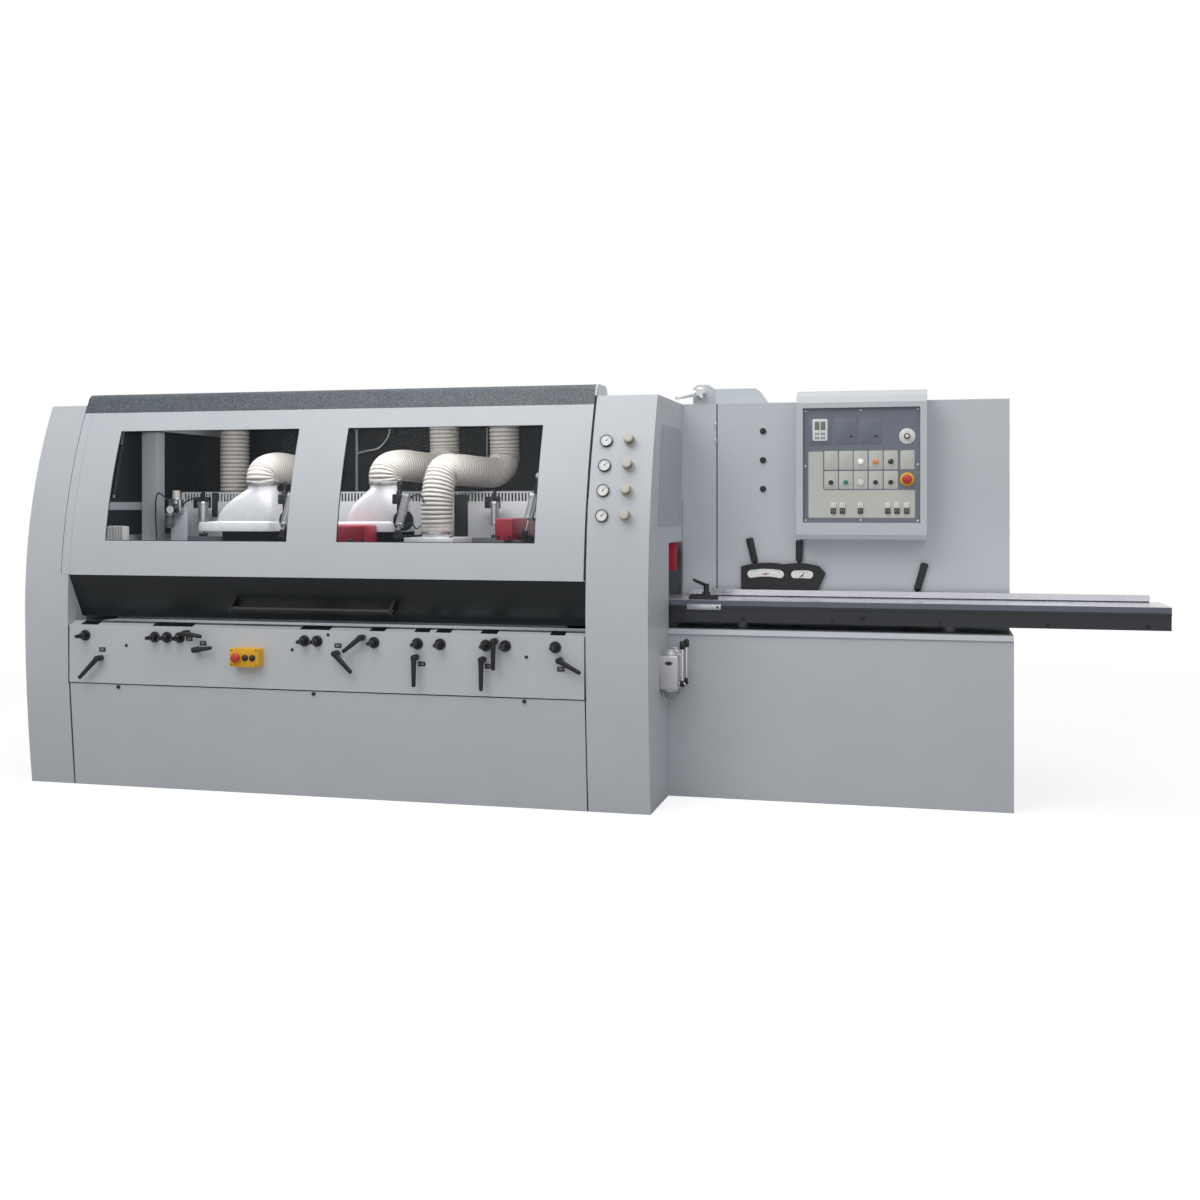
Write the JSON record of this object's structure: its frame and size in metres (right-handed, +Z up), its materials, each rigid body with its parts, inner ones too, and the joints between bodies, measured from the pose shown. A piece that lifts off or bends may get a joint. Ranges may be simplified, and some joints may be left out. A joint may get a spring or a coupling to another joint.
{
  "type": "four sided moulder",
  "caption": "Long floor moulder with a curved windowed hood over cutter spindles and feed rollers, an infeed table with fence and levers, cabinets and a control panel.",
  "frame": {"origin": "on the floor, under the middle of the whole machine", "axes": "+X along the machine towards the infeed end, +Y to the rear, +Z up"},
  "size_m": [4.92, 1.573, 1.81],
  "materials": {
    "grey_paint": "fine textured powder coat",
    "dark_paint": "satin anthracite coat",
    "lining": "matt dark coat with acoustic lining inside",
    "white_paint": "smooth coat",
    "red_paint": "gloss coat",
    "machined_steel": "ground and polished",
    "graphite_casting": "painted casting",
    "motor_black": "satin black",
    "aluminium": "anodised",
    "chrome": "bright",
    "black_plastic": "moulded grain",
    "panel_grey": "satin",
    "panel_parts": "moulded",
    "beige_plastic": "moulded",
    "yellow_plastic": "moulded",
    "red_plastic": "moulded",
    "white_plastic": "moulded",
    "hose": "clear wall with ribs",
    "window": "clear pane"
  },
  "bodies": {
    "frame": {"base_frame": "graphite_casting", "left_end_casing": "grey_paint", "right_end_column": "grey_paint", "column_window": "window", "control_fascia": "grey_paint", "lower_front_cover": "grey_paint", "rear_casing": "lining", "motor_cover": "white_paint", "infeed_cabinet": "grey_paint", "electrical_cabinet": "grey_paint", "control_housing": "grey_paint", "control_plate": "panel_grey", "panel_controls": "panel_parts", "bed_table": "machined_steel", "spindle_carriers": "motor_black", "feed_beam": "graphite_casting", "dust_hoods": "white_plastic", "low_dust_hood": "white_plastic", "extraction_hoses": "hose", "spindle_guards": "red_paint", "pneumatics": "aluminium", "pressure_regulators": "beige_plastic", "lubricators": "aluminium", "stop_button_box": "yellow_plastic", "scale_plate": "black_plastic", "adjuster_shafts": "machined_steel"},
    "hood": {"hood_shell": "grey_paint", "hood_lower_band": "dark_paint", "hood_top_band": "dark_paint", "hood_windows": "window", "hood_handle": "dark_paint"},
    "strut_tubes": {"strut_tubes": "motor_black"},
    "strut_rods": {"strut_rods": "chrome"},
    "infeed_table": {"infeed_table": "machined_steel", "side_guide": "aluminium"},
    "infeed_fence": {"infeed_fence": "machined_steel"},
    "table_lever": {"table_lever": "black_plastic"},
    "fence_lever": {"fence_lever": "black_plastic"},
    "table_clamp_lever": {"table_clamp_lever": "black_plastic"},
    "guide_clamp_lever": {"guide_clamp_lever": "black_plastic"},
    "bottom_spindle": {"bottom_spindle": "machined_steel"},
    "right_spindle": {"right_spindle": "machined_steel"},
    "left_spindle": {"left_spindle": "machined_steel"},
    "first_top_spindle": {"first_top_spindle": "machined_steel"},
    "second_top_spindle": {"second_top_spindle": "machined_steel"},
    "front_feed_roller": {"front_feed_roller": "machined_steel"},
    "rear_feed_roller": {"rear_feed_roller": "machined_steel"},
    "lubricator_lever_1": {"lubricator_lever_1": "black_plastic"},
    "lubricator_lever_2": {"lubricator_lever_2": "black_plastic"},
    "box_stop_button": {"box_stop_button": "red_plastic"},
    "panel_stop_button": {"panel_stop_button": "red_plastic"},
    "clamp_lever_1": {"clamp_lever_1": "black_plastic"},
    "clamp_lever_2": {"clamp_lever_2": "black_plastic"},
    "clamp_lever_3": {"clamp_lever_3": "black_plastic"},
    "clamp_lever_4": {"clamp_lever_4": "black_plastic"},
    "clamp_lever_5": {"clamp_lever_5": "black_plastic"},
    "clamp_lever_6": {"clamp_lever_6": "black_plastic"},
    "clamp_lever_7": {"clamp_lever_7": "black_plastic"},
    "clamp_lever_8": {"clamp_lever_8": "black_plastic"},
    "clamp_lever_9": {"clamp_lever_9": "black_plastic"}
  },
  "joints": [
    {"name": "hood_hinge", "type": "hinge", "parent": "frame", "child": "hood", "pos_m": [-1.04, -0.3135, 1.72], "axis": [-1, 0, 0], "range_deg": [0, 70]},
    {"name": "strut_swing", "type": "hinge", "parent": "frame", "child": "strut_tubes", "pos_m": [-1.04, -0.5035, 1.3], "axis": [1, 0, 0], "range_deg": [-0.2, 2.76]},
    {"name": "strut_slide", "type": "slide", "parent": "strut_tubes", "child": "strut_rods", "axis": [0, 0.273, 0.962], "range_m": [-0.001, 0.11243]},
    {"name": "table_lift", "type": "slide", "parent": "frame", "child": "infeed_table", "axis": [0, 0, 1], "range_m": [-0.01, 0]},
    {"name": "table_lever_turn", "type": "hinge", "parent": "frame", "child": "table_lever", "pos_m": [0.812, 0.053, 0.745], "axis": [0, 1, 0], "range_deg": [-0.2, 16.2]},
    {"name": "fence_slide", "type": "slide", "parent": "infeed_table", "child": "infeed_fence", "axis": [0, 1, 0], "range_m": [-0.005, 0.005]},
    {"name": "fence_lever_turn", "type": "hinge", "parent": "frame", "child": "fence_lever", "pos_m": [0.947, 0.053, 0.745], "axis": [0, 1, 0], "range_deg": [-14.2, 14.2]},
    {"name": "table_clamp_turn", "type": "hinge", "parent": "frame", "child": "table_clamp_lever", "pos_m": [1.425, 0.053, 0.745], "axis": [0, 1, 0], "range_deg": [-40, 10]},
    {"name": "guide_clamp_turn", "type": "hinge", "parent": "infeed_table", "child": "guide_clamp_lever", "pos_m": [0.578, -0.233, 0.9], "axis": [0, 0, 1], "range_deg": [-60, 60]},
    {"name": "bottom_spindle_spin", "type": "hinge", "parent": "frame", "child": "bottom_spindle", "pos_m": [0.05, 0.002, 0.788], "axis": [0, 1, 0], "continuous": true},
    {"name": "first_top_spindle_spin", "type": "hinge", "parent": "frame", "child": "first_top_spindle", "pos_m": [-0.95, 0.002, 0.972], "axis": [0, 1, 0], "continuous": true},
    {"name": "second_top_spindle_spin", "type": "hinge", "parent": "frame", "child": "second_top_spindle", "pos_m": [-1.6, 0.002, 0.972], "axis": [0, 1, 0], "continuous": true},
    {"name": "right_spindle_spin", "type": "hinge", "parent": "frame", "child": "right_spindle", "pos_m": [-0.28, 0.068, 0.85], "axis": [0, 0, 1], "continuous": true},
    {"name": "left_spindle_spin", "type": "hinge", "parent": "frame", "child": "left_spindle", "pos_m": [-0.56, -0.216, 0.85], "axis": [0, 0, 1], "continuous": true},
    {"name": "front_feed_roller_turn", "type": "hinge", "parent": "frame", "child": "front_feed_roller", "pos_m": [-0.42, -0.114, 0.985], "axis": [0, 1, 0], "continuous": true},
    {"name": "rear_feed_roller_turn", "type": "hinge", "parent": "frame", "child": "rear_feed_roller", "pos_m": [-1.34, -0.114, 0.985], "axis": [0, 1, 0], "continuous": true},
    {"name": "lubricator_lever_1_pump", "type": "hinge", "parent": "frame", "child": "lubricator_lever_1", "pos_m": [0.509, -0.435, 0.507], "axis": [1, 0, 0], "range_deg": [0, 20], "stiffness_Nm_per_rad": 2},
    {"name": "lubricator_lever_2_pump", "type": "hinge", "parent": "frame", "child": "lubricator_lever_2", "pos_m": [0.509, -0.337, 0.507], "axis": [1, 0, 0], "range_deg": [0, 20], "stiffness_Nm_per_rad": 2},
    {"name": "box_stop_press", "type": "slide", "parent": "frame", "child": "box_stop_button", "axis": [0, 1, 0], "range_m": [0, 0.005], "stiffness_N_per_m": 600},
    {"name": "panel_stop_press", "type": "slide", "parent": "frame", "child": "panel_stop_button", "axis": [0, 1, 0], "range_m": [0, 0.005], "stiffness_N_per_m": 600},
    {"name": "clamp_lever_1_turn", "type": "hinge", "parent": "frame", "child": "clamp_lever_1", "pos_m": [-2.07, -0.7295, 0.578], "axis": [0, -1, 0], "range_deg": [-45, 60]},
    {"name": "clamp_lever_2_turn", "type": "hinge", "parent": "frame", "child": "clamp_lever_2", "pos_m": [-1.64, -0.7295, 0.699], "axis": [0, -1, 0], "range_deg": [-15, 60]},
    {"name": "clamp_lever_3_turn", "type": "hinge", "parent": "frame", "child": "clamp_lever_3", "pos_m": [-1.59, -0.7295, 0.628], "axis": [0, -1, 0], "range_deg": [-60, 20]},
    {"name": "clamp_lever_4_turn", "type": "hinge", "parent": "frame", "child": "clamp_lever_4", "pos_m": [-0.814, -0.7295, 0.698], "axis": [0, -1, 0], "range_deg": [-45, 10]},
    {"name": "clamp_lever_5_turn", "type": "hinge", "parent": "frame", "child": "clamp_lever_5", "pos_m": [-0.931, -0.7295, 0.628], "axis": [0, -1, 0], "range_deg": [-45, 5]},
    {"name": "clamp_lever_6_turn", "type": "hinge", "parent": "frame", "child": "clamp_lever_6", "pos_m": [-0.572, -0.7295, 0.621], "axis": [0, -1, 0], "range_deg": [-45, 45]},
    {"name": "clamp_lever_7_turn", "type": "hinge", "parent": "frame", "child": "clamp_lever_7", "pos_m": [-0.276, -0.7295, 0.62], "axis": [0, -1, 0], "range_deg": [-60, 20]},
    {"name": "clamp_lever_8_turn", "type": "hinge", "parent": "frame", "child": "clamp_lever_8", "pos_m": [-0.224, -0.7295, 0.697], "axis": [0, -1, 0], "range_deg": [-10, 25]},
    {"name": "clamp_lever_9_turn", "type": "hinge", "parent": "frame", "child": "clamp_lever_9", "pos_m": [0.056, -0.7295, 0.625], "axis": [0, -1, 0], "range_deg": [-45, 60]}
  ],
  "couplings": [
    {"joint": "strut_swing", "follows": "hood_hinge", "ratio": 0.036617},
    {"joint": "strut_slide", "follows": "hood_hinge", "m_per_rad": 0.091204},
    {"joint": "table_lever_turn", "follows": "table_lift", "rad_per_m": -27.925},
    {"joint": "fence_lever_turn", "follows": "fence_slide", "rad_per_m": 48.869},
    {"joint": "rear_feed_roller_turn", "follows": "front_feed_roller_turn", "ratio": 1}
  ]
}
